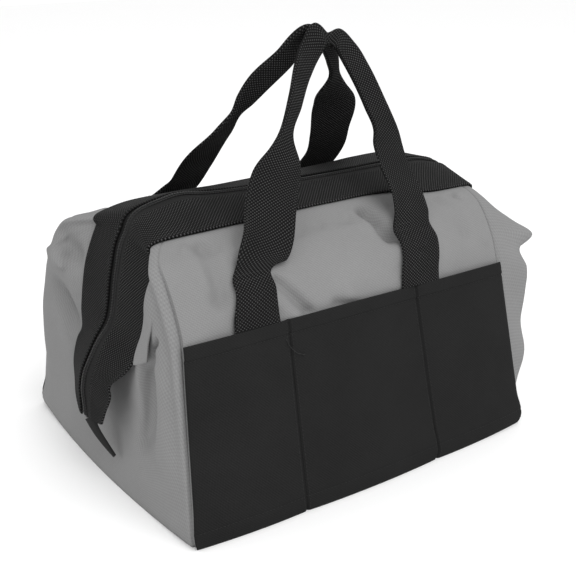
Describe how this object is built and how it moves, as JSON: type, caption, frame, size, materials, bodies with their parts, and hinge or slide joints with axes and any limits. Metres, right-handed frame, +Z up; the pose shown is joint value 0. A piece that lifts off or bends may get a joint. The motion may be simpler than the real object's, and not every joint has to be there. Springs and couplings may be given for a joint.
{
  "type": "wide-mouth tool bag",
  "caption": "Zip-top tool bag of grey cloth with black pocket panels on its long sides, webbing bands beside the zip and soft webbing handles that meet above it.",
  "frame": {"origin": "middle of the base, on the floor", "axes": "+X along the bag to its right end, +Y from the front to the back, +Z up"},
  "size_m": [0.376, 0.2868, 0.3324],
  "materials": {
    "grey_cloth": "matt woven polyester",
    "black_cloth": "matt woven polyester",
    "webbing": "coarse woven webbing with a slight sheen",
    "zip_tape": "smooth woven tape",
    "coil": "satin",
    "slider": "satin black"
  },
  "bodies": {
    "root": {"base_panel": "black_cloth", "front_panel": "grey_cloth", "back_panel": "grey_cloth", "left_end": "grey_cloth", "right_end": "grey_cloth", "pocket_front": "black_cloth", "pocket_back": "black_cloth", "band_front": "webbing", "band_back": "webbing", "tape_front": "zip_tape", "tape_back": "zip_tape", "zip_coil": "coil", "zip_slider": "slider", "zip_tail_left": "zip_tape", "zip_tail_right": "zip_tape", "handle_front": "webbing", "handle_back": "webbing"}
  },
  "joints": []
}
